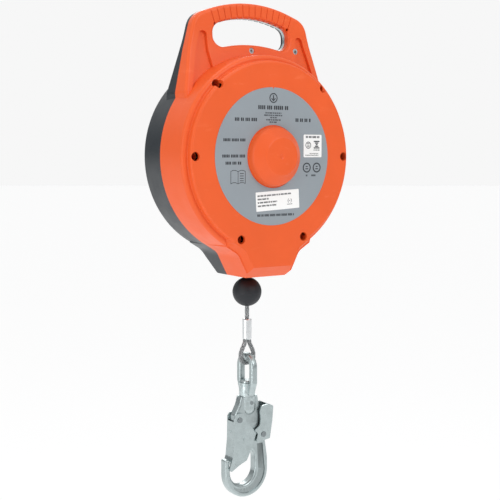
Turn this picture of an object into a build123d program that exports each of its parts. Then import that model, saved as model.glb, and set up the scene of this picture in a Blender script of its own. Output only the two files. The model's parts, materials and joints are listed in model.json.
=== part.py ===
from build123d import *
import math
import os

# Self retracting lifeline, millimetres. X is the width, +Y points from the front shell to the
# rear shell and Z is up. The origin is the underside of the handle's top bar, where the anchor
# connector bears. The two shells part at y = 0, which is also the plane of the wire rope.
# Heights written as z in the constants below are measured from the drum axis.

AXIS_Z = -143.0

# Housing
CASE_R = 104.5
RIM_R = 103.0
DISC_R = 97.0
DISC_Y = -48.0
LEDGE_Y = -41.0
REAR_Y = 43.0
REAR_LEDGE_Y = 39.5
WALL = 3.5
CAVITY_R = 99.5
DOME_R = 31.25
DOME_Y = -64.0
FLOOR_Z = -119.0
NOZZLE_Z = -124.0
NOZZLE_REAR_Y = 31.0
PLATE_HALF = 2.0
PLATE_FIT = 0.15

# Outlines in the front view: x, z, corner radius
SHOULDERS = [(0, 167.5, 151), (69, 143.4, 20), (78, 108, 60), (87, 64, 8), (84, 30, 0)]
HAND_HOLE = [(0, 148.8, 120), (47, 134.1, 11), (47, 109.5, 11), (0, 119, 155)]
HANGER = [(0, 163, 140), (62, 141.3, 16), (70.5, 106, 40), (66, 88, 8), (50, 70, 4)]
NOZZLE = [(60, -60, 0), (52, -90.6, 0), (38, -99, 14), (33.5, -108, 3), (25, NOZZLE_Z, 2)]
NOZZLE_CAVITY = [(40, -80, 0), (31, -95, 2), (27, -108, 3), (21, FLOOR_Z, 2)]
POCKET = [(63.5, 127, 4), (70, 105, 30), (79, 66, 2), (70, 66, 2), (50, 84, 3), (55, 108, 10),
          (55.5, 127, 4)]

# Front faces of the shoulders and the rear ones, seen from the side: y, z, corner radius
FRONT_SLOPE = [(-26, 40, 0), (-9.5, 119, 120), (-9.5, 170, 0)]
REAR_SLOPE = [(25, 40, 0), (6.4, 114, 90), (6.4, 170, 0)]
POCKET_DEPTH = 3.2

# Cover screws: angle round the drum axis and radius
SCREW_SPOTS = [(0, 91.8), (180, 91.8), (-65, 91.8), (-115, 91.8), (48, 96), (132, 96)]
SCREW_BORE_R = 4.5
SCREW_SEAT_Y = -14.0
SCREW_BOSS_R = 6.0
SCREW_R = 2.0
INSERT_R = 3.2
INSERT_LONG = 9.0
CLAMP_SPOTS = [(-1.5, 109.6), (55, 112)]

# Grip of the handle
GRIP_CENTRE_Z = 7.5
GRIP_TOP_R = 151.0
GRIP_UNDER_R = 135.5
GRIP_RIBS = 14
GRIP_PITCH_DEG = 3.03

# Frame, shaft and drum, along Y
FRONT_PLATE_Y = (-37.0, -34.0)
REAR_PLATE_Y = (30.5, 34.5)
TIE_SPOTS = [(30, 88.7), (-30, 88.7), (80, -46), (-80, -46)]
TIE_R = 4.0
TIE_END_R = 3.0
SHAFT_R = 8.0
SHAFT_Y = (-50.0, 39.0)
SHAFT_NUT_R = 12.0
SHAFT_NUT_LONG = 4.0
BEARING_R = 16.0
BEARING_Y = (3.2, 12.2)
RUN_FIT = 0.05
DRUM_HUB_R = 52.0
DRUM_BORE_WALL_R = 44.0
FLANGE_R = 85.0
FLANGE_Y = (12.7, 15.5)

# Wire rope
ROPE_R = 2.4
WRAP_R = 2.35
WRAP_PITCH = 5.0
LAYER_STEP = 4.4
LAYERS = 5
LINE_R = DRUM_HUB_R + ROPE_R + LAYERS * LAYER_STEP
BEND_R = 24.0
BEND_Z = -118.0
GUIDE_END_Z = -127.0

# Mainspring and its case
CASE_BACK_Y = -FLANGE_Y[1]
CASE_FRONT_Y = -31.5
LID_FRONT_Y = -33.0
SPRING_CASE_R = 80.0
ARBOR_R = 13.0
SPRING_TURNS = 11
SPRING_PITCH = 5.4
SPRING_THICK = 1.2

# Pawls, ratchet and brake, along Y
CARRIER_Y = (FLANGE_Y[1], 18.5)
CARRIER_R = 53.0
PAWL_Y = (18.8, 23.8)
PAWL_PIVOT_R = 38.0
PAWL_PIN_R = 3.0
TOOTH_COUNT = 12
TOOTH_TIP_R = 56.0
TOOTH_ROOT_R = 63.0
TOOTH_FACE_DEG = 61.8
RING_Y = (18.8, 26.2)
RING_FLANGE_Y = 23.4
RING_R = 77.0
LINING_IN_R = 67.0
LINING_THICK = 1.8
PRESSURE_Y = (19.6, 21.6)
BRAKE_PLATE_R = 85.4
BRAKE_BOLT_RING_R = 81.0
BRAKE_BOLTS = 6

# Line end, heights from the drum axis
BALL_R = 15.5
BALL_Z = -143.4
FERRULE_Z = (-194.6, -172.3)
FERRULE_R = 5.0
EYE_Z = -211.8
EYE_R = 7.6
BOW_TOP_Z = -208.8
BOW_HALF = 15.5
BOW_THICK = 7.5
BOW_BASE_Z = (-254.3, -241.0)
COLLAR_R = 8.6
STUD_R = 4.5
STUD_END_Z = -268.0
HOOK_TOP_Z = -255.4

# Snap hook in its own plane: x, z
HOOK_HALF = 5.5
CROSS_PIN_Z = -262.0
GATE_PIVOT = (-13.8, -279.0)
LEVER_PIVOT = (15.3, -298.0)
BOWL_OUT = (-3.5, -337.0, 27.0)
BOWL_IN = (-8.7, -334.5, 15.8)
GATE_IN = 5.8
GATE_OUT = 7.3
LEVER_IN = 7.6
LEVER_OUT = 9.1
RIVET_R = 2.5


def face_plane(y):
    """The front view at depth y: local x is X and local y is the height from the drum axis."""
    return Plane(origin=(0, y, AXIS_Z), x_dir=(1, 0, 0), z_dir=(0, -1, 0))


def side_plane():
    """The side view: local x is Y and local y is the height from the drum axis."""
    return Plane(origin=(0, 0, AXIS_Z), x_dir=(0, 1, 0), z_dir=(1, 0, 0))


def drum_plane(turn=0):
    """A half plane through the drum axis: local x is the radius and local y is Y."""
    side = (math.cos(math.radians(turn)), 0, math.sin(math.radians(turn)))
    normal = (-math.sin(math.radians(turn)), 0, math.cos(math.radians(turn)))
    return Plane(origin=(0, 0, AXIS_Z), x_dir=side, z_dir=normal)


DRUM_AXIS = Axis((0, 0, AXIS_Z), (0, 1, 0))


def polar(radius, degrees):
    return (radius * math.cos(math.radians(degrees)), radius * math.sin(math.radians(degrees)))


def mirrored(points):
    """Corners given for the right side only, followed by their mirror images from the last back to
    the first. A corner on the centre line is not repeated."""
    left = [(-x, z, r) for x, z, r in reversed(points) if x > 0]
    return [*points, *left]


def rounded_face(corners, mode=Mode.ADD):
    """A face with a radius at each corner, in the current sketch: corners are (x, y, radius)."""
    with BuildLine() as outline:
        FilletPolyline(*[(x, y) for x, y, _ in corners], radius=[r for _, _, r in corners], close=True)
    make_face(outline.edges(), mode=mode)


def straight_face(points, mode=Mode.ADD):
    with BuildLine() as outline:
        Polyline(*points, close=True)
    make_face(outline.edges(), mode=mode)


def ring_of(y, inner, outer, mode=Mode.ADD):
    """A ring round the drum axis between two depths."""
    with BuildSketch(face_plane(max(y))) as section:
        Circle(outer)
        Circle(inner, mode=Mode.SUBTRACT)
    extrude(section.sketch, amount=abs(y[1] - y[0]), mode=mode)


def rods(spots, radius, y, mode=Mode.ADD):
    """Round bars parallel to the drum axis."""
    with BuildSketch(face_plane(max(y))) as section:
        with Locations(*spots):
            Circle(radius)
    extrude(section.sketch, amount=abs(y[1] - y[0]), mode=mode)


def keep(piece, name):
    piece.part.label = name
    export_step(piece.part, f"parts/{name}.step")


def handle_half(slope, pocket_shift):
    """Shoulders and handle of one shell: the outline from the front, cut to the slope from the side."""
    front = slope[0][0] < 0
    with BuildPart() as half:
        with BuildSketch(face_plane(0 if front else 60)):
            rounded_face(mirrored(SHOULDERS))
            rounded_face(mirrored(HAND_HOLE), mode=Mode.SUBTRACT)
        extrude(amount=60)
        with BuildSketch(side_plane()):
            rounded_face([(0, slope[0][1], 0), *slope, (0, slope[-1][1], 0)])
        extrude(amount=120, both=True, mode=Mode.INTERSECT)
        sloped = half.faces().filter_by(lambda f: abs(f.normal_at().Y) > 0.9 and abs(f.center().Y) > 1)
        edges = ShapeList()
        for face in sloped:
            edges += face.edges().filter_by(lambda e: abs((e % 0.5).X) < 0.999 or e.geom_type != GeomType.LINE)
        if front:
            fillet(edges, radius=3.5)
        else:
            fillet(edges, radius=2.5)
    with BuildPart() as pockets:
        with BuildSketch(face_plane(0 if front else 60)):
            rounded_face(POCKET)
            mirror(about=Plane.YZ)
        extrude(amount=60)
        with BuildSketch(side_plane()):
            floor = [(y + pocket_shift, z, r) for y, z, r in slope]
            far = -80 if front else 80
            rounded_face([(far, slope[0][1], 0), *floor, (far, slope[-1][1], 0)])
        extrude(amount=120, both=True, mode=Mode.INTERSECT)
    with BuildPart() as finished:
        add(half.part)
        add(pockets.part, mode=Mode.SUBTRACT)
    return finished.part


def grip_grooves(front_y, rear_y):
    """Thin grooves across the grip's face and shallow notches along its underside."""
    turns = [(i - (GRIP_RIBS - 1) / 2) * GRIP_PITCH_DEG for i in range(GRIP_RIBS)]
    middle = (GRIP_TOP_R + GRIP_UNDER_R) / 2
    outer_y = front_y if abs(front_y) > abs(rear_y) else rear_y
    with BuildPart() as grooves:
        for turn in turns:
            x, z = polar(middle, 90 - turn)
            with Locations(Location((x, outer_y, AXIS_Z + GRIP_CENTRE_Z + z), (0, turn, 0))):
                Box(0.9, 1.3, 30)
            x, z = polar(GRIP_UNDER_R - 0.3, 90 - turn)
            with Locations(Location((x, (front_y + rear_y) / 2, AXIS_Z + GRIP_CENTRE_Z + z), (90, 0, 0))):
                Cylinder(1.5, abs(rear_y - front_y) + 6)
    return grooves.part


def plate_slot(y):
    """The room for the hanger plate in one shell."""
    with BuildPart() as slot:
        with BuildSketch(face_plane(max(y))):
            rounded_face(mirrored([(x + 0.3 * (x > 0), z + 0.3, r) for x, z, r in HANGER]))
            Circle(CAVITY_R - 1, mode=Mode.SUBTRACT)
        extrude(amount=abs(y[1] - y[0]))
    return slot.part


def front_cover():
    shoulders = handle_half(FRONT_SLOPE, POCKET_DEPTH)
    grooves = grip_grooves(FRONT_SLOPE[-1][0], 0)
    slot = plate_slot((-PLATE_HALF - PLATE_FIT, 0))
    with BuildPart() as nozzle:
        with BuildSketch(face_plane(0)):
            rounded_face(mirrored(NOZZLE))
        extrude(amount=-LEDGE_Y)
        with BuildSketch(face_plane(LEDGE_Y)):
            rounded_face(mirrored(NOZZLE))
            offset(amount=-1.5, mode=Mode.REPLACE)
        extrude(amount=LEDGE_Y - DISC_Y, taper=35)
        with BuildSketch(side_plane()):
            straight_face([(-60, -130), (-34, -130), (-34, NOZZLE_Z), (-48, -112.5), (-60, -112.5)])
        extrude(amount=60, both=True, mode=Mode.SUBTRACT)
    with BuildPart() as front_cover:
        with BuildSketch(drum_plane()):
            rounded_face([(0, DISC_Y, 0), (DISC_R, DISC_Y, 2.5), (DISC_R, LEDGE_Y, 1),
                          (RIM_R, LEDGE_Y, 4), (CASE_R, 0, 0), (0, 0, 0)])
        revolve(axis=DRUM_AXIS)
        with BuildSketch(drum_plane()):
            rounded_face([(0, DOME_Y, 0), (18.8, DOME_Y, 2.5), (29.6, DOME_Y + 9.6, 6),
                          (DOME_R, DISC_Y + 1, 0), (0, DISC_Y + 1, 0)])
        revolve(axis=DRUM_AXIS)
        add(shoulders)
        add(nozzle.part)
        with BuildSketch(drum_plane()):
            rounded_face([(0, DOME_Y + WALL, 0), (16.5, DOME_Y + WALL, 2), (25.6, DOME_Y + 12, 3),
                          (27, DISC_Y + 2, 0), (27, DISC_Y + WALL, 0), (DISC_R - WALL, DISC_Y + WALL,
                                                                        2), (DISC_R - WALL, LEDGE_Y + WALL,
                                                                             0),
                          (CAVITY_R, LEDGE_Y + WALL, 2), (CAVITY_R, 0, 0), (0, 0, 0)])
        revolve(axis=DRUM_AXIS, mode=Mode.SUBTRACT)
        with BuildSketch(face_plane(0)):
            rounded_face(mirrored(NOZZLE_CAVITY))
        extrude(amount=37, mode=Mode.SUBTRACT)
        rods([polar(r, a) for a, r in SCREW_SPOTS], SCREW_BOSS_R, (LEDGE_Y + 2.5, 0))
        rods([polar(r, a) for a, r in SCREW_SPOTS], SCREW_BORE_R, (DISC_Y - 2, SCREW_SEAT_Y), Mode.SUBTRACT)
        rods([polar(r, a) for a, r in SCREW_SPOTS], SCREW_R + 0.3, (SCREW_SEAT_Y, 0), Mode.SUBTRACT)
        add(grooves, mode=Mode.SUBTRACT)
        add(slot, mode=Mode.SUBTRACT)
        rods(CLAMP_SPOTS, 3.3, (-40, -8), Mode.SUBTRACT)
        rods(CLAMP_SPOTS, SCREW_R + 0.3, (-8, 0), Mode.SUBTRACT)
        with Locations((0, 0, AXIS_Z + (FLOOR_Z + NOZZLE_Z) / 2)):
            Cylinder(7.1, 12, mode=Mode.SUBTRACT)
        with Locations((0, DOME_Y - 4, AXIS_Z)):
            Sphere(5, mode=Mode.SUBTRACT)
    keep(front_cover, "front_cover")


def rear_cover():
    shoulders = handle_half(REAR_SLOPE, -2.2)
    grooves = grip_grooves(0, REAR_SLOPE[-1][0])
    slot = plate_slot((0, PLATE_HALF + PLATE_FIT))
    with BuildPart() as nozzle:
        with BuildSketch(face_plane(NOZZLE_REAR_Y)):
            rounded_face(mirrored(NOZZLE))
        extrude(amount=NOZZLE_REAR_Y)
        with BuildSketch(side_plane()):
            straight_face([(60, -130), (19, -130), (19, NOZZLE_Z), (32, -98), (60, -98)])
        extrude(amount=60, both=True, mode=Mode.SUBTRACT)
    with BuildPart() as rear_cover:
        with BuildSketch(drum_plane()):
            rounded_face([(0, REAR_Y, 0), (88, REAR_Y, 2), (90, REAR_LEDGE_Y, 2),
                          (RIM_R, REAR_LEDGE_Y, 6), (CASE_R, 0, 0), (0, 0, 0)])
        revolve(axis=DRUM_AXIS)
        add(shoulders)
        add(nozzle.part)
        with BuildSketch(drum_plane()):
            rounded_face([(0, REAR_Y - WALL, 0), (85, REAR_Y - WALL, 2), (86.5, REAR_LEDGE_Y - WALL, 1),
                          (CAVITY_R, REAR_LEDGE_Y - WALL, 3), (CAVITY_R, 0, 0), (0, 0, 0)])
        revolve(axis=DRUM_AXIS, mode=Mode.SUBTRACT)
        with BuildSketch(face_plane(16)):
            rounded_face(mirrored(NOZZLE_CAVITY))
        extrude(amount=16, mode=Mode.SUBTRACT)
        rods([polar(r, a) for a, r in SCREW_SPOTS], SCREW_BOSS_R, (0, REAR_LEDGE_Y - 1))
        rods([polar(r, a) for a, r in SCREW_SPOTS], INSERT_R, (0, INSERT_LONG), Mode.SUBTRACT)
        rods([polar(r, a) for a, r in SCREW_SPOTS], SCREW_R + 0.3, (INSERT_LONG, 20), Mode.SUBTRACT)
        add(grooves, mode=Mode.SUBTRACT)
        add(slot, mode=Mode.SUBTRACT)
        rods(CLAMP_SPOTS, SCREW_R + 0.3, (0, 20), Mode.SUBTRACT)
        with Locations((0, 0, AXIS_Z + (FLOOR_Z + NOZZLE_Z) / 2)):
            Cylinder(7.1, 12, mode=Mode.SUBTRACT)
    keep(rear_cover, "rear_cover")


def cover_fasteners():
    spots = [polar(r, a) for a, r in SCREW_SPOTS]
    with BuildPart() as cover_screws:
        rods(spots, 3.6, (SCREW_SEAT_Y - 3.6, SCREW_SEAT_Y))
        rods(spots, SCREW_R, (SCREW_SEAT_Y, INSERT_LONG - 1))
        with BuildSketch(face_plane(SCREW_SEAT_Y - 1.6)) as sockets:
            with Locations(*spots):
                RegularPolygon(1.7, 6)
        extrude(amount=2.1, mode=Mode.SUBTRACT)
    keep(cover_screws, "cover_screws")
    with BuildPart() as threaded_inserts:
        rods(spots, INSERT_R, (0.2, INSERT_LONG))
        rods(spots, SCREW_R, (0.2, INSERT_LONG), Mode.SUBTRACT)
    keep(threaded_inserts, "threaded_inserts")
    with BuildPart() as hanger_clamp_screws:
        rods(CLAMP_SPOTS, 3.1, (-10.5, -8))
        rods(CLAMP_SPOTS, SCREW_R, (-8, 4.6))
        with BuildSketch(face_plane(-9.6)):
            with Locations(*CLAMP_SPOTS):
                RegularPolygon(1.6, 6)
        extrude(amount=1, mode=Mode.SUBTRACT)
    keep(hanger_clamp_screws, "hanger_clamp_screws")


def labels():
    with BuildPart() as rating_label:
        with BuildSketch(face_plane(DISC_Y)):
            Circle(70)
            Circle(DOME_R + 0.7, mode=Mode.SUBTRACT)
            with Locations((0, 70.5)):
                RegularPolygon(2.4, 3, rotation=30, mode=Mode.SUBTRACT)
        extrude(amount=0.3)
    keep(rating_label, "rating_label")
    with BuildPart() as serial_sticker:
        with BuildSketch(face_plane(DISC_Y - 0.3)):
            with Locations((5.5, -44.5)):
                RectangleRounded(54, 19.5, 0.8, rotation=3)
        extrude(amount=0.15)
    keep(serial_sticker, "serial_sticker")
    with BuildPart() as approval_sticker:
        with BuildSketch(face_plane(DISC_Y - 0.3)):
            with Locations((50, 11)):
                RectangleRounded(23.5, 23.5, 1.2)
        extrude(amount=0.15)
    keep(approval_sticker, "approval_sticker")


def cable_guide():
    """A bush with a trumpet mouth whose curve carries the rope round its bend in any direction."""
    throat = BEND_R - ROPE_R - 0.2
    lip = 48
    inner = (BEND_R - throat * math.cos(math.radians(lip)), BEND_Z + throat * math.sin(math.radians(lip)))
    middle = (BEND_R - throat * math.cos(math.radians(lip / 2)),
              BEND_Z + throat * math.sin(math.radians(lip / 2)))
    with BuildPart() as cable_guide:
        with BuildSketch(Plane(origin=(0, 0, AXIS_Z), x_dir=(1, 0, 0), z_dir=(0, -1, 0))):
            with BuildLine():
                ThreePointArc(inner, middle, (BEND_R - throat, BEND_Z))
                Polyline((BEND_R - throat, BEND_Z), (BEND_R - throat, GUIDE_END_Z + 1),
                         (BEND_R - throat + 1, GUIDE_END_Z),
                         (8.4, GUIDE_END_Z), (9.3, GUIDE_END_Z + 0.9), (9.3, NOZZLE_Z - 0.1), (7,
                                                                                               NOZZLE_Z - 0.1),
                         (7, FLOOR_Z + 0.1), (10, FLOOR_Z + 0.1), (10, FLOOR_Z + 2.5), (8, FLOOR_Z + 2.5),
                         (inner[0] + 3, inner[1]), inner)
            make_face()
        revolve(axis=Axis.Z)
    keep(cable_guide, "cable_guide")


def hanger_plate():
    """Steel plate between the shells, round the hand hole, hung on the two upper tie bars."""
    with BuildPart() as hanger_plate:
        with BuildSketch(face_plane(PLATE_HALF)):
            rounded_face(mirrored(HANGER))
            rounded_face(mirrored(HAND_HOLE), mode=Mode.SUBTRACT)
            Circle(FLANGE_R + 1.3, mode=Mode.SUBTRACT)
            with Locations(*TIE_SPOTS[:2]):
                Circle(TIE_R + 0.05, mode=Mode.SUBTRACT)
            with Locations(*CLAMP_SPOTS):
                Circle(SCREW_R + 0.2, mode=Mode.SUBTRACT)
        extrude(amount=2 * PLATE_HALF)
    keep(hanger_plate, "hanger_plate")


def frame_plate(name, y, windows):
    with BuildPart() as plate:
        with BuildSketch(face_plane(y[1])):
            with Locations(*TIE_SPOTS):
                Circle(5)
            make_hull()
            with Locations(*TIE_SPOTS):
                Circle(TIE_END_R + 0.02, mode=Mode.SUBTRACT)
            Circle(SHAFT_R + 0.02, mode=Mode.SUBTRACT)
            with PolarLocations(44, windows, start_angle=90):
                Circle(9, mode=Mode.SUBTRACT)
        extrude(amount=y[1] - y[0])
    keep(plate, name)


def frame():
    frame_plate("front_frame_plate", FRONT_PLATE_Y, 5)
    frame_plate("rear_frame_plate", REAR_PLATE_Y, 3)
    with BuildPart() as tie_bars:
        rods(TIE_SPOTS, TIE_R, (FRONT_PLATE_Y[1], REAR_PLATE_Y[0]))
        rods(TIE_SPOTS, TIE_END_R, FRONT_PLATE_Y)
        rods(TIE_SPOTS, TIE_END_R, REAR_PLATE_Y)
    keep(tie_bars, "tie_bars")
    with BuildPart() as main_shaft:
        rods([(0, 0)], SHAFT_R, SHAFT_Y)
        chamfer(main_shaft.edges().filter_by(GeomType.CIRCLE), length=1)
    keep(main_shaft, "main_shaft")
    with BuildPart() as shaft_nuts:
        for y in (FRONT_PLATE_Y[0], REAR_PLATE_Y[1] + SHAFT_NUT_LONG):
            with BuildSketch(face_plane(y)):
                RegularPolygon(SHAFT_NUT_R, 6)
                Circle(SHAFT_R + 0.02, mode=Mode.SUBTRACT)
            extrude(amount=SHAFT_NUT_LONG)
    keep(shaft_nuts, "shaft_nuts")


def drum():
    """Grooveless rope drum: two flanges on a thick hub, a web and a bearing seat."""
    inner, outer = FLANGE_Y
    with BuildPart() as drum:
        ring_of((-outer, -inner), DRUM_BORE_WALL_R, FLANGE_R)
        ring_of((inner, outer), DRUM_BORE_WALL_R, FLANGE_R)
        ring_of((-inner, inner), DRUM_BORE_WALL_R, DRUM_HUB_R)
        ring_of((-2, 2), BEARING_R + 3, DRUM_BORE_WALL_R)
        ring_of((-inner, inner), BEARING_R, BEARING_R + 4)
        ring_of((-BEARING_Y[0] + 0.2, BEARING_Y[0] - 0.2), BEARING_R - 3, BEARING_R)
        with BuildSketch(face_plane(3)):
            with PolarLocations(32, 6, start_angle=30):
                Circle(6)
        extrude(amount=6, mode=Mode.SUBTRACT)
        with BuildSketch(face_plane(outer)):
            with PolarLocations(48, 6):
                Circle(SCREW_R)
        extrude(amount=2 * outer, mode=Mode.SUBTRACT)
    keep(drum, "drum")
    for name, side in (("front_bearing", -1), ("rear_bearing", 1)):
        ends = sorted((side * BEARING_Y[0], side * BEARING_Y[1]))
        with BuildPart() as bearing:
            ring_of(ends, SHAFT_R + RUN_FIT, BEARING_R)
            for y in ends:
                ring_of((y - 0.8, y + 0.8), 10.6, 13.4, Mode.SUBTRACT)
        keep(bearing, name)
    with BuildPart() as drum_screws:
        for side in (-1, 1):
            face = CARRIER_Y[1] if side > 0 else CASE_BACK_Y - 2
            for turn in range(0, 360, 60):
                with BuildSketch(drum_plane(turn)):
                    straight_face([(48, face), (51.4, face), (48 + SCREW_R, face - side * 1.4),
                                   (48 + SCREW_R, side * 6), (48, side * 6)])
                x, z = polar(48, turn)
                revolve(axis=Axis((x, 0, AXIS_Z + z), (0, 1, 0)))
    keep(drum_screws, "drum_screws")


def rope_on_drum():
    """The wound rope: full layers with their wraps in the grooves of the layer below, and two wraps
    of the outer layer. The next wrap is the one that leaves for the guide."""
    with BuildPart() as wound_rope:
        with BuildSketch(drum_plane()):
            for layer in range(LAYERS):
                wraps = 5 if layer % 2 else 4
                radius = DRUM_HUB_R + ROPE_R + layer * LAYER_STEP
                for wrap in range(wraps):
                    with Locations((radius, (wrap - (wraps - 1) / 2) * WRAP_PITCH)):
                        Circle(WRAP_R)
            with Locations((LINE_R, -2 * WRAP_PITCH), (LINE_R, -WRAP_PITCH)):
                Circle(WRAP_R)
            straight_rows = LAYERS * LAYER_STEP
            with Locations((DRUM_HUB_R + straight_rows / 2, 0)):
                Rectangle(straight_rows - ROPE_R, 3 * WRAP_PITCH + 1)
            with Locations((LINE_R - LAYER_STEP / 2, -1.5 * WRAP_PITCH)):
                Rectangle(LAYER_STEP, WRAP_PITCH)
        revolve(axis=DRUM_AXIS)
    keep(wound_rope, "wound_rope")
    with BuildPart() as rope_end_clamp:
        with Locations((0, 6.5, AXIS_Z + DRUM_BORE_WALL_R - 5)):
            Box(16, 7, 7)
        fillet(rope_end_clamp.edges(), radius=1)
    keep(rope_end_clamp, "rope_end_clamp")


def rope_run():
    """The rope from the drum's tangent, round the guide's mouth and down to the guide's end."""
    reach = math.hypot(BEND_R, BEND_Z)
    heading = math.atan2(BEND_Z, BEND_R) - math.asin((LINE_R + BEND_R) / reach)
    across = (-math.sin(heading), math.cos(heading))
    leaves = (LINE_R * across[0], LINE_R * across[1])
    meets = (BEND_R - BEND_R * across[0], BEND_Z - BEND_R * across[1])
    half = (heading + math.pi / 2) / 2
    middle = (BEND_R - BEND_R * math.cos(half), BEND_Z - BEND_R * math.sin(half))
    print("rope bend radius", BEND_R, "drum radius of the leaving wrap", LINE_R)
    with BuildPart() as rope_inner_run:
        with BuildLine(face_plane(0)) as route:
            Line(leaves, meets)
            ThreePointArc(meets, middle, (0, BEND_Z))
            Line((0, BEND_Z), (0, GUIDE_END_Z))
        path = route.wire()
        with BuildSketch(Plane(origin=path @ 0, z_dir=path % 0)):
            Circle(ROPE_R)
        sweep(path=path)
    length = path.length
    print("rope inner run", length, rope_inner_run.part.volume / (math.pi * ROPE_R**2 * length))
    keep(rope_inner_run, "rope_inner_run")
    with BuildPart() as rope_lower_run:
        with BuildSketch(Plane.XY.offset(AXIS_Z + FERRULE_Z[1])):
            Circle(ROPE_R)
        extrude(amount=GUIDE_END_Z - FERRULE_Z[1])
    keep(rope_lower_run, "rope_lower_run")


def spring():
    """Mainspring in its case: the case turns with the drum, the arbor is fixed on the shaft."""
    back = (CASE_BACK_Y - 2, CASE_BACK_Y)
    with BuildPart() as spring_case:
        ring_of(back, ARBOR_R + 1.5, SPRING_CASE_R)
        ring_of((CASE_FRONT_Y, CASE_BACK_Y - 2), SPRING_CASE_R - 2, SPRING_CASE_R)
        for turn in range(0, 360, 60):
            with BuildSketch(drum_plane(turn)):
                straight_face([(48, back[0]), (51.4, back[0]), (48 + SCREW_R, back[0] + 1.4),
                               (48 + SCREW_R, back[1]), (48, back[1])])
            x, z = polar(48, turn)
            revolve(axis=Axis((x, 0, AXIS_Z + z), (0, 1, 0)), mode=Mode.SUBTRACT)
    keep(spring_case, "spring_case")
    with BuildPart() as spring_case_lid:
        ring_of((LID_FRONT_Y, CASE_FRONT_Y), ARBOR_R + 1.5, SPRING_CASE_R)
        with BuildSketch(face_plane(CASE_FRONT_Y)):
            with PolarLocations(50, 8):
                Circle(6)
        extrude(amount=2, mode=Mode.SUBTRACT)
    keep(spring_case_lid, "spring_case_lid")
    with BuildPart() as spring_arbor:
        ring_of((FRONT_PLATE_Y[1], CASE_BACK_Y - 1), SHAFT_R + 0.02, ARBOR_R)
    keep(spring_arbor, "spring_arbor")
    steps = [i * 30 for i in range(SPRING_TURNS * 12 + 1)]
    inner = [polar(ARBOR_R + 0.4 + SPRING_PITCH * a / 360, a) for a in steps]
    outer = [polar(ARBOR_R + 0.4 + SPRING_THICK + SPRING_PITCH * a / 360, a) for a in steps]
    with BuildPart() as mainspring:
        with BuildSketch(face_plane(CASE_BACK_Y - 3)):
            with BuildLine():
                Spline(*inner)
                Line(inner[-1], outer[-1])
                Spline(*reversed(outer))
                Line(outer[0], inner[0])
            make_face()
        extrude(amount=12)
    keep(mainspring, "mainspring")


def pawl_shape():
    """A pawl at the top of the carrier, pointing the way the drum turns as line pays out."""
    with BuildSketch() as shape:
        rounded_face([(-5.5, 33.5, 4.5), (-5.5, 42.5, 4.5), (8, 45, 6), (25.5, 49.0, 0), (27, 46.5, 0),
                      (25.2, 42.0, 1), (10, 36, 6), (4, 33, 3)])
        with Locations((0, PAWL_PIVOT_R)):
            Circle(PAWL_PIN_R + RUN_FIT, mode=Mode.SUBTRACT)
    return shape.sketch


def pawls():
    shape = pawl_shape()
    for name, turn in (("pawl_1", 0), ("pawl_2", 180)):
        with BuildPart() as pawl:
            with BuildSketch(face_plane(PAWL_Y[1])):
                add(shape, rotation=turn)
            extrude(amount=PAWL_Y[1] - PAWL_Y[0])
        keep(pawl, name)
    pins = [(0, PAWL_PIVOT_R), (0, -PAWL_PIVOT_R)]
    with BuildPart() as pawl_carrier:
        ring_of(CARRIER_Y, BEARING_R + 1, CARRIER_R)
        rods(pins, PAWL_PIN_R + 0.02, CARRIER_Y, Mode.SUBTRACT)
        for turn in range(0, 360, 60):
            with BuildSketch(drum_plane(turn)):
                straight_face([(48, CARRIER_Y[1]), (51.4, CARRIER_Y[1]), (48 + SCREW_R, CARRIER_Y[1] - 1.4),
                               (48 + SCREW_R, CARRIER_Y[0]), (48, CARRIER_Y[0])])
            x, z = polar(48, turn)
            revolve(axis=Axis((x, 0, AXIS_Z + z), (0, 1, 0)), mode=Mode.SUBTRACT)
    keep(pawl_carrier, "pawl_carrier")
    with BuildPart() as pawl_pins:
        rods(pins, PAWL_PIN_R, (CARRIER_Y[0] + 0.1, PAWL_Y[1] + 0.4))
        rods(pins, PAWL_PIN_R + 1.2, (PAWL_Y[1] + 0.2, PAWL_Y[1] + 1.2))
    keep(pawl_pins, "pawl_pins")
    for name, side in (("pawl_spring_1", 1), ("pawl_spring_2", -1)):
        with BuildPart() as pawl_spring:
            with BuildLine():
                coil = Helix(1.7, 10.2, 1.9, center=(side * 7.5, 21.3, AXIS_Z + side * 27),
                             direction=(side, 0, 0))
            with BuildSketch(Plane(origin=coil @ 0, z_dir=coil % 0)):
                Circle(0.4)
            sweep(path=coil)
        keep(pawl_spring, name)


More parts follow.
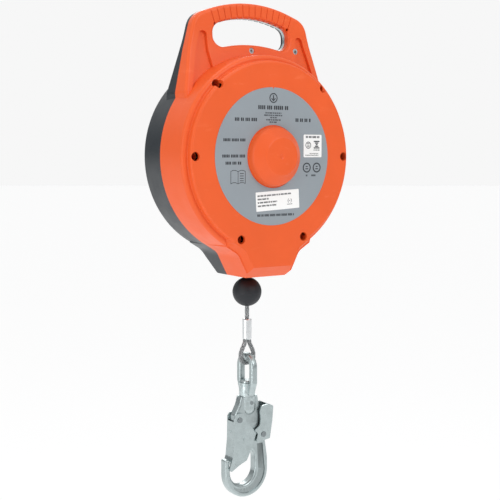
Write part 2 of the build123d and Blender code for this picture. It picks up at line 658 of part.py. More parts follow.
def brake():
    """Ratchet ring held between two linings, so that it slips and soaks up the energy of a fall."""
    step = 360 / TOOTH_COUNT
    with BuildPart() as ratchet_ring:
        with BuildSketch(face_plane(RING_Y[1])):
            Circle(LINING_IN_R - 0.5)
            corners = []
            for tooth in range(TOOTH_COUNT):
                face = TOOTH_FACE_DEG - tooth * step
                corners += [polar(TOOTH_ROOT_R, face), polar(TOOTH_TIP_R, face),
                            polar(TOOTH_TIP_R + 0.1, face - 4), polar(TOOTH_ROOT_R, face - 18)]
            straight_face(corners, mode=Mode.SUBTRACT)
        extrude(amount=RING_Y[1] - RING_Y[0])
        ring_of((RING_FLANGE_Y, RING_Y[1]), LINING_IN_R - 1, RING_R)
    keep(ratchet_ring, "ratchet_ring")
    for name, y in (("rear_lining", (RING_Y[1], RING_Y[1] + LINING_THICK)),
                    ("front_lining", (RING_FLANGE_Y - LINING_THICK, RING_FLANGE_Y))):
        with BuildPart() as lining:
            ring_of(y, LINING_IN_R, RING_R)
        keep(lining, name)
    bolts = [polar(BRAKE_BOLT_RING_R, 30 + i * 360 / BRAKE_BOLTS) for i in range(BRAKE_BOLTS)]
    backing_y = (RING_Y[1] + LINING_THICK, REAR_PLATE_Y[0])
    with BuildPart() as pressure_plate:
        ring_of(PRESSURE_Y, LINING_IN_R, BRAKE_PLATE_R)
        rods(bolts, SCREW_R + 0.1, PRESSURE_Y, Mode.SUBTRACT)
    keep(pressure_plate, "pressure_plate")
    with BuildPart() as backing_plate:
        ring_of(backing_y, 40, BRAKE_PLATE_R)
        rods(bolts, SCREW_R, backing_y, Mode.SUBTRACT)
    keep(backing_plate, "backing_plate")
    with BuildPart() as brake_bolts:
        rods(bolts, 3.5, (16.4, 18.2))
        rods(bolts, SCREW_R, (18.2, backing_y[1]))
    keep(brake_bolts, "brake_bolts")
    with BuildPart() as disc_springs:
        for x, z in bolts:
            with Locations(Location((x, 18.9, AXIS_Z + z), (90, 0, 0))):
                Cone(4.2, 3.2, 1.4)
                Hole(SCREW_R + 0.1)
    keep(disc_springs, "disc_springs")


def line_end():
    with BuildPart() as ball_stop:
        with Locations((0, 0, AXIS_Z + BALL_Z)):
            Sphere(BALL_R)
            Cylinder(ROPE_R + 0.15, 2 * BALL_R + 2, mode=Mode.SUBTRACT)
        with BuildSketch(Plane.XY.offset(AXIS_Z + BALL_Z - BALL_R)):
            Circle(4.3)
        extrude(amount=13, mode=Mode.SUBTRACT)
    keep(ball_stop, "ball_stop")
    with BuildPart() as stop_sleeve:
        with BuildSketch(Plane.XY.offset(AXIS_Z + BALL_Z - BALL_R + 0.8)):
            Circle(4.1)
            Circle(ROPE_R + 0.02, mode=Mode.SUBTRACT)
        extrude(amount=12)
    keep(stop_sleeve, "stop_sleeve")
    with BuildPart() as ferrule:
        with BuildSketch(Plane.XY.offset(AXIS_Z + FERRULE_Z[0])):
            Circle(FERRULE_R)
        extrude(amount=FERRULE_Z[1] - FERRULE_Z[0])
        chamfer(ferrule.edges().filter_by(GeomType.CIRCLE), length=1.2, length2=0.9)
    keep(ferrule, "ferrule")
    top = (2.5, FERRULE_Z[0])
    bend = (2.5, FERRULE_Z[0] - 3)
    reach = math.hypot(bend[0], bend[1] - EYE_Z)
    lean = math.atan2(bend[1] - EYE_Z, bend[0]) - math.acos(EYE_R / reach)
    touch = (EYE_R * math.cos(lean), EYE_Z + EYE_R * math.sin(lean))
    with BuildPart() as rope_eye:
        with BuildLine(face_plane(0)) as route:
            FilletPolyline(top, bend, touch, radius=8)
            ThreePointArc(touch, (0, EYE_Z - EYE_R), (-touch[0], touch[1]))
            FilletPolyline((-touch[0], touch[1]), (-bend[0], bend[1]), (-top[0], top[1]), radius=8)
        path = route.wire()
        with BuildSketch(Plane(origin=path @ 0, z_dir=path % 0)):
            Circle(ROPE_R)
        sweep(path=path)
    length = path.length
    print("rope eye", length, rope_eye.part.volume / (math.pi * ROPE_R**2 * length))
    keep(rope_eye, "rope_eye")
    with BuildPart() as thimble:
        with BuildSketch(Plane(origin=(0, 0, AXIS_Z + EYE_Z), x_dir=(1, 0, 0), z_dir=(0, 0, 1))):
            straight_face([(4.3, -3.3), (6.4, -3.3), (6.4, -2.5), (5.15, -2.5),
                           (5.15, 2.5), (6.4, 2.5), (6.4, 3.3), (4.3, 3.3)])
        revolve(axis=Axis((0, 0, AXIS_Z + EYE_Z), (0, 1, 0)), revolution_arc=180)
    keep(thimble, "thimble")


def swivel():
    """The bow stands across the rope eye, so it is drawn in the side view."""
    base, seat = BOW_BASE_Z
    arch = BOW_TOP_Z - BOW_HALF
    with BuildPart() as swivel_eye:
        with BuildSketch(side_plane()):
            with BuildLine():
                ThreePointArc((-BOW_HALF, arch), (0, BOW_TOP_Z), (BOW_HALF, arch))
                Polyline((BOW_HALF, arch), (BOW_HALF, -240), (10.5, base + 1), (-10.5, base + 1),
                         (-BOW_HALF, -240), (-BOW_HALF, arch))
            make_face()
            with BuildLine():
                ThreePointArc((-8, -222.8), (0, -214.8), (8, -222.8))
                Polyline((8, -222.8), (8, seat), (-8, seat), (-8, -222.8))
            make_face(mode=Mode.SUBTRACT)
        extrude(amount=BOW_THICK / 2, both=True)
        fillet(swivel_eye.edges().filter_by(lambda e: e.center().Z > AXIS_Z - 252 and abs(e.center().X) > 3),
               radius=2.6)
        with BuildSketch(Plane.XY.offset(AXIS_Z + base)):
            Circle(COLLAR_R)
        extrude(amount=seat - base)
        with BuildSketch(Plane.XY.offset(AXIS_Z + base)):
            Circle(STUD_R + RUN_FIT)
        extrude(amount=seat - base, mode=Mode.SUBTRACT)
    keep(swivel_eye, "swivel_eye")
    with BuildPart() as swivel_stud:
        with BuildSketch(Plane.XY.offset(AXIS_Z + seat + 0.1)):
            Circle(6.8)
        extrude(amount=2.6)
        fillet(swivel_stud.edges().filter_by(GeomType.CIRCLE).sort_by(Axis.Z)[-1], radius=1.6)
        with BuildSketch(Plane.XY.offset(AXIS_Z + STUD_END_Z)):
            Circle(STUD_R)
        extrude(amount=seat + 0.1 - STUD_END_Z)
        with BuildSketch(face_plane(10)):
            with Locations((0, CROSS_PIN_Z)):
                Circle(2.02)
        extrude(amount=20, mode=Mode.SUBTRACT)
    keep(swivel_stud, "swivel_stud")
    with BuildPart() as swivel_washer:
        with BuildSketch(Plane.XY.offset(AXIS_Z + HOOK_TOP_Z)):
            Circle(COLLAR_R - 0.4)
            Circle(STUD_R + 0.1, mode=Mode.SUBTRACT)
        extrude(amount=base - HOOK_TOP_Z - 0.1)
    keep(swivel_washer, "swivel_washer")
    with BuildPart() as cross_pin:
        rods([(0, CROSS_PIN_Z)], 2.0, (-9.8, 9.8))
        chamfer(cross_pin.edges().filter_by(GeomType.CIRCLE), length=0.5)
    keep(cross_pin, "cross_pin")


def hook_body():
    """Forged body: swivel barrel, web for the gate and the lever, shank, bowl and nose."""
    out_x, out_z, out_r = BOWL_OUT
    in_x, in_z, in_r = BOWL_IN
    right, left, bottom = out_x + out_r, out_x - out_r, out_z - out_r
    throat, nose, floor = in_x + in_r, in_x - in_r, in_z - in_r
    with BuildSketch() as outline:
        rounded_face([(-10.5, HOOK_TOP_Z, 0), (10.5, HOOK_TOP_Z, 0), (13, -268, 6), (14.5, -286, 8),
                      (19.6, -293, 5), (20.2, -304, 8), (right, -325, 40), (right, bottom, out_r - 0.01),
                      (left, bottom, out_r - 0.01), (left, -320.8, 1.8), (nose - 1, -320.2, 1.8), (nose,
                                                                                                   -333, 8),
                      (nose, floor, in_r - 0.01), (throat, floor, in_r - 0.01), (throat, -321, 6), (-1,
                                                                                                    -309, 10),
                      (-8, -297, 8), (-11, -284.5, 2), (-18.6, -283.5, 4), (-18.6, -274, 5), (-13, -264,
                                                                                              8)])
    with BuildSketch() as panel:
        with BuildLine() as inset:
            low = CenterArc((out_x, out_z), out_r - 4.2, 225, 135)
            Line(low @ 1, (16.4, -308))
            Line((16.4, -308), (9.2, -308))
            Line((9.2, -308), (in_x + in_r + 3.8, in_z))
            high = CenterArc((in_x, in_z), in_r + 3.8, 0, -130)
            Line(high @ 1, low @ 0)
        make_face(inset.edges())
    with BuildPart() as hook_body:
        with BuildSketch(face_plane(HOOK_HALF)):
            add(outline.sketch)
        extrude(amount=2 * HOOK_HALF)
        rims = hook_body.edges().filter_by(
            lambda e: abs(abs(e.center().Y) - HOOK_HALF) < 0.01 and e.center().Z < AXIS_Z - 312)
        fillet(rims, radius=2.4)
        for y in (-HOOK_HALF + 0.9, HOOK_HALF + 1):
            with BuildSketch(face_plane(y)):
                add(panel.sketch)
            extrude(amount=1.9, mode=Mode.SUBTRACT)
        with BuildSketch(Plane.XY.offset(AXIS_Z + STUD_END_Z)):
            Circle(9)
        extrude(amount=HOOK_TOP_Z - STUD_END_Z)
        with Locations((0, 0, AXIS_Z + STUD_END_Z)):
            Sphere(9)
        with BuildSketch(Plane.XY.offset(AXIS_Z + STUD_END_Z - 0.3)):
            Circle(STUD_R + 0.02)
        extrude(amount=20, mode=Mode.SUBTRACT)
        rods([(0, CROSS_PIN_Z)], 2.02, (-12, 12), Mode.SUBTRACT)
        rods([GATE_PIVOT], RIVET_R, (-12, 12), Mode.SUBTRACT)
        rods([LEVER_PIVOT], RIVET_R, (-12, 12), Mode.SUBTRACT)
        rods([GATE_PIVOT], 4.3, (-HOOK_HALF - 1, -1.8), Mode.SUBTRACT)
        with Locations(Location((18, 0, AXIS_Z - 278), (0, 90, 0))):
            Cylinder(2.9, 12, mode=Mode.SUBTRACT)
    keep(hook_body, "hook_body")


def gate():
    """Folded sheet: two cheeks over the body, joined by a spine on the throat side."""
    with BuildPart() as gate:
        with BuildSketch(face_plane(GATE_OUT)):
            rounded_face([(-20.6, -271.8, 6), (-7.6, -271.8, 6), (-5.5, -282.5, 6), (3, -290.5, 8),
                          (7.6, -295.6, 2),
                          (3.2, -306, 8), (-2.3, -318.5, 4), (-5.2, -323.8, 2), (-14, -327.3, 20),
                          (-24.5, -333.2, 1.2), (-27, -330.2, 1.2), (-22.8, -318, 6), (-21, -300, 20)])
        extrude(amount=2 * GATE_OUT)
        with BuildSketch(face_plane(GATE_IN)):
            straight_face([(-30, -260), (-30, -280.5), (-19.2, -280.5), (-19.3, -300), (-21.2, -318),
                           (-22.3, -322), (-30, -324), (-40, -340), (30, -340), (30, -260)])
        extrude(amount=2 * GATE_IN, mode=Mode.SUBTRACT)
        rods([GATE_PIVOT], RIVET_R + RUN_FIT, (-12, 12), Mode.SUBTRACT)
        with Locations((-20.7, 1, AXIS_Z - 291.4)):
            Sphere(1.4)
        for y in ((-GATE_OUT - 0.5, -GATE_OUT), (GATE_OUT, GATE_OUT + 0.2)):
            rods([(-7, -300.7)], 2.1, y)
    keep(gate, "gate")


def lever():
    """Folded sheet lever over the back of the hook, its cheeks outside the gate's."""
    with BuildPart() as lock_lever:
        with BuildSketch(face_plane(LEVER_OUT)):
            rounded_face([(12.6, -267, 4), (22, -265.6, 6), (28.2, -268.6, 2), (26.8, -285, 0),
                          (23.6, -303.6, 1),
                          (17, -304.4, 6), (5.6, -305.6, 1.5), (8.2, -296.4, 2), (4.2, -292.6, 0.8), (11,
                                                                                                      -288, 7),
                          (11.6, -280, 6), (10.6, -272, 5)])
        extrude(amount=2 * LEVER_OUT)
        with BuildSketch(face_plane(LEVER_IN)):
            straight_face([(-10, -250), (27, -250), (26.6, -268), (25.2, -285), (21.9, -310), (-10, -310)])
        extrude(amount=2 * LEVER_IN, mode=Mode.SUBTRACT)
        rods([LEVER_PIVOT], RIVET_R + RUN_FIT, (-12, 12), Mode.SUBTRACT)
    keep(lock_lever, "lock_lever")


def hook_small_parts():
    for name, spot, reach in (("gate_rivet", GATE_PIVOT, GATE_OUT),
                              ("lever_rivet", LEVER_PIVOT, LEVER_OUT)):
        with BuildPart() as rivet:
            rods([spot], RIVET_R - 0.02, (-reach - 0.9, reach + 0.9))
            for y in ((-reach - 1.0, -reach - 0.1), (reach + 0.1, reach + 1.0)):
                rods([spot], RIVET_R + 0.5, y)
            fillet(rivet.edges().filter_by(GeomType.CIRCLE).filter_by(lambda e: abs(e.center().Y) > reach + 0.9),
                   radius=0.5)
        keep(rivet, name)
    springs = (("gate_spring", 1.0, 2.4, 3.4, 0.4, (GATE_PIVOT[0], -5, GATE_PIVOT[1]), (0, 1, 0)),
               ("lever_spring", 1.8, 10.8, 2.0, 0.5, (12.7, 0, -278), (1, 0, 0)))
    for name, pitch, height, radius, wire, (x, y, z), along in springs:
        with BuildPart() as spring_part:
            with BuildLine():
                coil = Helix(pitch, height, radius, center=(x, y, AXIS_Z + z), direction=along)
            with BuildSketch(Plane(origin=coil @ 0, z_dir=coil % 0)):
                Circle(wire)
            sweep(path=coil)
        keep(spring_part, name)


os.makedirs("parts", exist_ok=True)
front_cover()
rear_cover()
cover_fasteners()
labels()
cable_guide()
hanger_plate()
frame()
drum()
rope_on_drum()
rope_run()
spring()
pawls()
brake()
line_end()
swivel()
hook_body()
gate()
lever()
hook_small_parts()
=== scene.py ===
import json
import math
import random

import bmesh
import bpy
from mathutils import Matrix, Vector


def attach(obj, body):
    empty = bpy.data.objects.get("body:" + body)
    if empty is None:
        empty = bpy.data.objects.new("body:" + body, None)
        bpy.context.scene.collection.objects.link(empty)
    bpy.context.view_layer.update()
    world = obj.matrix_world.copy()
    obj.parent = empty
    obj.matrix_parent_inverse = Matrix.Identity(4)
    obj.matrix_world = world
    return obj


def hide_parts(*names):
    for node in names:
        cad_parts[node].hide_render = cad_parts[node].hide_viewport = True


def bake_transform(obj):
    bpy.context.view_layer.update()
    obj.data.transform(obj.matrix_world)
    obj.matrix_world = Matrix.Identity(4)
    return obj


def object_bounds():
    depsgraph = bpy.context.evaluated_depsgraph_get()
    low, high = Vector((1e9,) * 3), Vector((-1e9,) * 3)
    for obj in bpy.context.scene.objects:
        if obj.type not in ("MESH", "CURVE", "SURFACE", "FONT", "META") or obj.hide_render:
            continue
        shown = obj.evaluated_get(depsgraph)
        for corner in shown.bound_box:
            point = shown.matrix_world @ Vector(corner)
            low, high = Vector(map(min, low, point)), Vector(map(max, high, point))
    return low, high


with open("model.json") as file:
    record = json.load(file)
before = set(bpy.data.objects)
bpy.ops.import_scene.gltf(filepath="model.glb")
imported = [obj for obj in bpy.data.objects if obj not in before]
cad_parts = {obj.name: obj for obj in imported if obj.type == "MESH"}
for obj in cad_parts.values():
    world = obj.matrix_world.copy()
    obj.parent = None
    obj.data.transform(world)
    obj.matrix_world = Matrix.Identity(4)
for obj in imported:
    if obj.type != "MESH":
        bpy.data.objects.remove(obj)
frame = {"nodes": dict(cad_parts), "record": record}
cad_low, cad_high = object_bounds()

MM = 0.001
AXIS_Z = -143 * MM            # drum axis, row frame
LABEL_Y = -48.3 * MM          # front of the rating label
STICKER_Y = -48.45 * MM       # front of the white stickers
INK_THICK = 0.06 * MM
PAYOUT = 0.96                 # the line's travel; the floor lies below its lowest point
FLOOR_GAP = 0.12
ROPE_R = 2.4 * MM
random.seed(7)


# ---------------------------------------------------------------- camera
def make_camera():
    """Left of the block's front, about level with the drum axis, tilted a little down."""
    azimuth, tilt, distance = math.radians(-34), math.radians(3.6), 1.067
    right = Vector((math.cos(azimuth), math.sin(azimuth), 0))
    back = Vector((math.sin(azimuth), -math.cos(azimuth), 0))
    data = bpy.data.cameras.new("camera")
    camera = bpy.data.objects.new("camera", data)
    bpy.context.collection.objects.link(camera)
    camera.location = back * distance + right * 0.0032 + Vector((0, 0, AXIS_Z))
    camera.rotation_euler = (math.pi / 2 - tilt, 0, azimuth)
    data.sensor_width = 36
    data.lens = 72.6
    data.shift_y = -0.06
    data.clip_start, data.clip_end = 0.05, 50
    bpy.context.scene.camera = camera


make_camera()


# ---------------------------------------------------------------- helpers
def link(name, mesh):
    piece = bpy.data.objects.new(name, mesh)
    bpy.context.collection.objects.link(piece)
    return piece


def smooth(mesh):
    for polygon in mesh.polygons:
        polygon.use_smooth = True


def route(points, steps=24):
    """Points along a smooth NURBS line with the given control points, in metres."""
    data = bpy.data.curves.new("route", "CURVE")
    data.dimensions = "3D"
    data.resolution_u = steps
    spline = data.splines.new("NURBS")
    spline.points.add(len(points) - 1)
    for point, place in zip(spline.points, points):
        point.co = (*place, 1)
    spline.order_u = 3
    spline.use_endpoint_u = True
    holder = bpy.data.objects.new("route", data)
    bpy.context.collection.objects.link(holder)
    mesh = bpy.data.meshes.new_from_object(holder)
    line = [v.co.copy() for v in mesh.vertices]
    bpy.data.meshes.remove(mesh)
    bpy.data.objects.remove(holder)
    bpy.data.curves.remove(data)
    return line


def resample(line, gap):
    """The same line with points an even distance apart."""
    total = sum((b - a).length for a, b in zip(line, line[1:]))
    count = max(2, round(total / gap))
    step, out, run, at = total / count, [line[0].copy()], 0.0, 1
    for a, b in zip(line, line[1:]):
        length = (b - a).length
        while length > 0 and at <= count and run + length >= at * step - 1e-9:
            out.append(a.lerp(b, (at * step - run) / length))
            at += 1
        run += length
    return out


def frames(line, hint=Vector((0, 1, 0))):
    """A turning frame along the line that doesn't twist: (point, side, up)."""
    out, up = [], hint
    for i, p in enumerate(line):
        along = (line[min(i + 1, len(line) - 1)] - line[max(i - 1, 0)]).normalized()
        up = (up - along * up.dot(along)).normalized()
        out.append((p, along.cross(up), up))
    return out


def tube(bm, centres, sides, radius, count):
    """A closed round tube along the centres."""
    rings = []
    for i, centre in enumerate(centres):
        side, up = sides[i]
        rings.append([bm.verts.new(centre + radius * (side * math.cos(2 * math.pi * k / count)
                                                     + up * math.sin(2 * math.pi * k / count)))
                      for k in range(count)])
    for a, b in zip(rings, rings[1:]):
        for k in range(count):
            bm.faces.new((a[k], a[(k + 1) % count], b[(k + 1) % count], b[k]))
    bm.faces.new(list(reversed(rings[0])))
    bm.faces.new(rings[-1])


def wire_rope(name, line, lay=34 * MM, strands=6, wires=6):
    """Six strands of seven wires each, laid round a core strand, along the line."""
    gap = 0.7 * MM
    line = resample(line, gap)
    spine = frames(line)
    bm = bmesh.new()
    strand_r = ROPE_R / 3
    wire_r = strand_r / 3.05
    run, along = 0.0, []
    for i, p in enumerate(line):
        run += (p - line[i - 1]).length if i else 0
        along.append(run)

    def helix(radius, turn, pitch, base=None):
        centres = []
        for i, (p, side, up) in enumerate(base or spine):
            angle = turn + 2 * math.pi * along[i] / pitch
            centres.append(p + radius * (side * math.cos(angle) + up * math.sin(angle)))
        return centres

    tube(bm, [p for p, _, _ in spine], [(s, u) for _, s, u in spine], strand_r * 0.98, 10)
    for strand in range(strands):
        middle = helix(ROPE_R - strand_r, strand * 2 * math.pi / strands, lay)
        local = frames(middle)
        tube(bm, middle, [(s, u) for _, s, u in local], strand_r * 0.7, 8)
        for wire in range(wires):
            centres = helix(strand_r - wire_r, wire * 2 * math.pi / wires, -9 * MM, local)
            tube(bm, centres, [(s, u) for _, s, u in frames(centres)], wire_r, 7)
    mesh = bpy.data.meshes.new(name)
    bm.normal_update()
    bm.to_mesh(mesh)
    bm.free()
    smooth(mesh)
    return link(name, mesh)


# ---------------------------------------------------------------- the wire rope
GUIDE_END = Vector((0, 0, -270 * MM))
FERRULE_TOP = Vector((0, 0, AXIS_Z - 172.3 * MM))
run_line = route([GUIDE_END, GUIDE_END.lerp(FERRULE_TOP, 0.35), GUIDE_END.lerp(FERRULE_TOP, 0.7),
                  FERRULE_TOP])
rope_run = wire_rope("rope_run", run_line)
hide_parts("rope_lower_run")
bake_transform(rope_run)

EYE_POINTS = [(2.5, -194.6), (2.5, -198.4), (6.7, -205.6), (8.3, -210.6), (8.1, -216.2),
              (4.4, -219.9)]
eye_right = [Vector((x * MM, 0, AXIS_Z + z * MM)) for x, z in EYE_POINTS]
eye_left = [Vector((-p.x, 0, p.z)) for p in reversed(eye_right)]
rope_loop = wire_rope("rope_loop", route(eye_right + eye_left), lay=30 * MM)
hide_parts("rope_eye")
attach(rope_loop, "line_end")


# ---------------------------------------------------------------- materials
def new_material(name, colour, rough, metallic=0.0, specular=0.5):
    material = bpy.data.materials.new(name)
    material.use_nodes = True
    tree = material.node_tree
    shader = tree.nodes["Principled BSDF"]
    shader.inputs["Base Color"].default_value = (*colour, 1)
    shader.inputs["Roughness"].default_value = rough
    shader.inputs["Metallic"].default_value = metallic
    shader.inputs["Specular IOR Level"].default_value = specular
    return material, tree, shader


def noise(tree, scale, detail=4, rough=0.55, stretch=(1, 1, 1)):
    place = tree.nodes.new("ShaderNodeTexCoord")
    mapping = tree.nodes.new("ShaderNodeMapping")
    mapping.inputs["Scale"].default_value = stretch
    texture = tree.nodes.new("ShaderNodeTexNoise")
    texture.inputs["Scale"].default_value = scale
    texture.inputs["Detail"].default_value = detail
    texture.inputs["Roughness"].default_value = rough
    tree.links.new(place.outputs["Object"], mapping.inputs["Vector"])
    tree.links.new(mapping.outputs["Vector"], texture.inputs["Vector"])
    return texture.outputs["Fac"]


def ramp(tree, value, stops):
    node = tree.nodes.new("ShaderNodeValToRGB")
    elements = node.color_ramp.elements
    while len(elements) < len(stops):
        elements.new(0.5)
    for element, (at, colour) in zip(elements, stops):
        element.position = at
        element.color = (*colour, 1)
    tree.links.new(value, node.inputs["Fac"])
    return node.outputs["Color"]


def span(tree, value, low, high, low_in=0.3, high_in=0.7):
    node = tree.nodes.new("ShaderNodeMapRange")
    node.inputs["From Min"].default_value = low_in
    node.inputs["From Max"].default_value = high_in
    node.inputs["To Min"].default_value = low
    node.inputs["To Max"].default_value = high
    tree.links.new(value, node.inputs["Value"])
    return node.outputs["Result"]


def bump(tree, shader, heights, distance):
    """Bumps of several textures: heights is a list of (texture value, strength)."""
    last = None
    for value, strength in heights:
        node = tree.nodes.new("ShaderNodeBump")
        node.inputs["Strength"].default_value = strength
        node.inputs["Distance"].default_value = distance
        tree.links.new(value, node.inputs["Height"])
        if last is not None:
            tree.links.new(last, node.inputs["Normal"])
        last = node.outputs["Normal"]
    tree.links.new(last, shader.inputs["Normal"])


def edge_wear(tree, base, worn, low=0.54, high=0.62):
    """Base colour that turns to the worn colour on sharp convex edges, broken up by noise."""
    geometry = tree.nodes.new("ShaderNodeNewGeometry")
    mask = span(tree, geometry.outputs["Pointiness"], 0, 1, low, high)
    times = tree.nodes.new("ShaderNodeMath")
    times.operation = "MULTIPLY"
    tree.links.new(mask, times.inputs[0])
    tree.links.new(span(tree, noise(tree, 260, 5), 0.0, 1.0, 0.42, 0.62), times.inputs[1])
    mix = tree.nodes.new("ShaderNodeMix")
    mix.data_type = "RGBA"
    tree.links.new(times.outputs[0], mix.inputs["Factor"])
    tree.links.new(base, mix.inputs[6])
    mix.inputs[7].default_value = (*worn, 1)
    return mix.outputs[2]


def painted_crevice_shade(tree, base, shade_colour):
    """Base colour with painted shade: darker in grooves and inside corners."""
    geometry = tree.nodes.new("ShaderNodeNewGeometry")
    mix = tree.nodes.new("ShaderNodeMix")
    mix.data_type = "RGBA"
    tree.links.new(span(tree, geometry.outputs["Pointiness"], 0.9, 0, 0.40, 0.485),
                   mix.inputs["Factor"])
    tree.links.new(base, mix.inputs[6])
    mix.inputs[7].default_value = (*shade_colour, 1)
    return mix.outputs[2]


def scuffs(tree, base, worn):
    """Base colour with a few faint rubbed streaks."""
    mix = tree.nodes.new("ShaderNodeMix")
    mix.data_type = "RGBA"
    tree.links.new(span(tree, noise(tree, 35, 8, 0.7, (1, 1, 4)), 0.0, 0.35, 0.60, 0.78),
                   mix.inputs["Factor"])
    tree.links.new(base, mix.inputs[6])
    mix.inputs[7].default_value = (*worn, 1)
    return mix.outputs[2]


def scaled(colour, k):
    return tuple(min(1.0, c * k) for c in colour)


def plastic(name, colour, rough, grain, worn, specular=0.5):
    """Moulded plastic or film: slow cloud in the colour, faint scuffs and a fine grain."""
    material, tree, shader = new_material(name, colour, rough, specular=specular)
    cloud = ramp(tree, noise(tree, 22, 3),
                 [(0.3, scaled(colour, 0.97)), (0.7, scaled(colour, 1.03))])
    tree.links.new(scuffs(tree, cloud, worn), shader.inputs["Base Color"])
    tree.links.new(span(tree, noise(tree, 60, 5), rough - 0.05, rough + 0.06),
                   shader.inputs["Roughness"])
    bump(tree, shader, [(noise(tree, 900, 2), grain), (noise(tree, 40, 2), 0.05)], 0.0002)
    return material


def metal(name, colour, rough, brush=(1, 1, 1), grain=0.2, spots=0.0, worn=True):
    """Zinc or steel: slow cloudy patches, fine grain and a little dull bloom."""
    material, tree, shader = new_material(name, colour, rough, metallic=1.0)
    cloud = ramp(tree, noise(tree, 120, 6, 0.65),
                 [(0.25, scaled(colour, 0.86)), (0.55, colour), (0.8, scaled(colour, 1.08))])
    # With worn set: painted shade darkens grooves and inside corners, then sharp edges turn to the
    # lighter wear colour.
    if worn:
        cloud = edge_wear(tree, painted_crevice_shade(tree, cloud, scaled(colour, 0.35)), scaled(colour, 1.35))
    tree.links.new(cloud, shader.inputs["Base Color"])
    tree.links.new(span(tree, noise(tree, 380, 5, 0.6, brush), rough - 0.09, rough + 0.13),
                   shader.inputs["Roughness"])
    heights = [(noise(tree, 700, 4, 0.6, brush), grain), (noise(tree, 90, 3), spots)]
    bump(tree, shader, [h for h in heights if h[1]], 0.0003)
    return material


ORANGE = (0.80, 0.110, 0.022)
BLACK = (0.013, 0.018, 0.023)
finishes = {
    "orange_shell": plastic("orange_plastic", ORANGE, 0.40, 0.10, (0.93, 0.24, 0.10), specular=0.3),
    "black_shell": plastic("black_plastic", BLACK, 0.36, 0.16, (0.07, 0.08, 0.09), specular=0.5),
    "label_film": plastic("label_film", (0.275, 0.310, 0.338), 0.42, 0.03, (0.30, 0.34, 0.36)),
    "sticker": plastic("sticker_film", (0.88, 0.88, 0.87), 0.5, 0.02, (0.8, 0.8, 0.79)),
    "zinc_steel": metal("zinc_plate", (0.46, 0.51, 0.515), 0.30, (1, 1, 1), 0.10),
    "forged_steel": metal("zinc_forging", (0.44, 0.50, 0.505), 0.33, (1, 1, 1), 0.16, 0.12),
    "sheet_steel": metal("zinc_sheet", (0.46, 0.525, 0.53), 0.30, (1, 1, 6), 0.06, 0.0, worn=False),
    "screw_steel": metal("screw_steel", (0.62, 0.63, 0.63), 0.30, (1, 1, 1), 0.10),
    "insert_brass": metal("brass", (0.70, 0.52, 0.24), 0.32, (1, 1, 1), 0.10),
    "guide_plastic": plastic("guide_plastic", (0.014, 0.015, 0.018), 0.38, 0.05,
                             (0.04, 0.04, 0.04)),
    "ball_rubber": plastic("ball_rubber", (0.005, 0.007, 0.011), 0.55, 0.22, (0.05, 0.05, 0.055)),
    "wire_rope": metal("rope_wire", (0.66, 0.68, 0.69), 0.27, (1, 1, 1), 0.06),
    "ferrule_metal": metal("ferrule_metal", (0.72, 0.74, 0.75), 0.30, (1, 1, 5), 0.20, 0.20),
    "drum_aluminium": metal("cast_aluminium", (0.68, 0.69, 0.70), 0.42, (1, 1, 1), 0.25),
    "spring_steel": metal("spring_steel", (0.34, 0.36, 0.41), 0.26, (1, 1, 1), 0.06),
    "hard_steel": metal("hard_steel", (0.36, 0.36, 0.37), 0.33, (1, 1, 1), 0.12),
    "friction_lining": plastic("lining", (0.14, 0.095, 0.07), 0.8, 0.5, (0.2, 0.15, 0.11)),
}
ink, ink_tree, ink_shader = new_material("printing_ink", (0.020, 0.024, 0.030), 0.55)
ink_tree.links.new(ramp(ink_tree, noise(ink_tree, 500, 3),
                        [(0.3, (0.016, 0.019, 0.024)), (0.7, (0.035, 0.040, 0.048))]),
                   ink_shader.inputs["Base Color"])
bump(ink_tree, ink_shader, [(noise(ink_tree, 900, 2), 0.05)], 0.0002)

for part in frame["record"]["subparts"]:
    node = frame["nodes"].get(part["node"])
    if node is not None:
        node.data.materials.clear()
        node.data.materials.append(finishes[part["material_slot"]])
rivet_metal = metal("rivet_steel", (0.27, 0.30, 0.31), 0.34, (1, 1, 1), 0.08, worn=False)
for name in ("gate_rivet", "lever_rivet", "cross_pin"):
    frame["nodes"][name].data.materials[0] = rivet_metal
rope_run.data.materials.append(finishes["wire_rope"])
rope_loop.data.materials.append(finishes["wire_rope"])


# ---------------------------------------------------------------- printing on the label
def slab(bm, x, z, width, height, y, turn=0.0, bevel=0.25):
    """A thin inked bar with cut corners, centred at x, z in mm from the drum axis."""
    w, h = width / 2, height / 2
    c = min(bevel, w * 0.6, h * 0.6)
    outline = [(-w + c, -h), (w - c, -h), (w, -h + c), (w, h - c), (w - c, h), (-w + c, h),
               (-w, h - c), (-w, -h + c)]
    cos, sin = math.cos(turn), math.sin(turn)
    ring = []
    for dx, dz in outline:
        ring.append(Vector(((x + dx * cos - dz * sin) * MM, y,
                            AXIS_Z + (z + dx * sin + dz * cos) * MM)))
    prism(bm, ring)


def prism(bm, ring):
    """A flat outline of ink, INK_THICK proud of its surface."""
    lift = Vector((0, -INK_THICK, 0))
    low = [bm.verts.new(p) for p in ring]
    high = [bm.verts.new(p + lift) for p in ring]
    bm.faces.new(high)
    bm.faces.new(list(reversed(low)))
    for i in range(len(ring)):
        j = (i + 1) % len(ring)
        bm.faces.new((low[i], low[j], high[j], high[i]))


LETTER_PITCH = 0.62           # of the bar height
LETTER_FILL = 0.74
WORD_GAP = 0.405


def words(bm, x, z, width, height, y, turn=0.0):
    """A line of greeked print: short bars of uneven length in place of words."""
    at, end = -width / 2, width / 2
    while at < end - 0.6:
        length = min(random.choice((1.2, 1.7, 2.3, 3.0)) * height, end - at)
        middle = at + length / 2
        count = max(1, round(length / (LETTER_PITCH * height)))
        for k in range(count):
            dx = at + (k + 0.5) * length / count
            slab(bm, x + dx * math.cos(turn), z + dx * math.sin(turn), length / count * LETTER_FILL,
                 height, y, turn, 0.2)
        at = middle + length / 2 + WORD_GAP * height


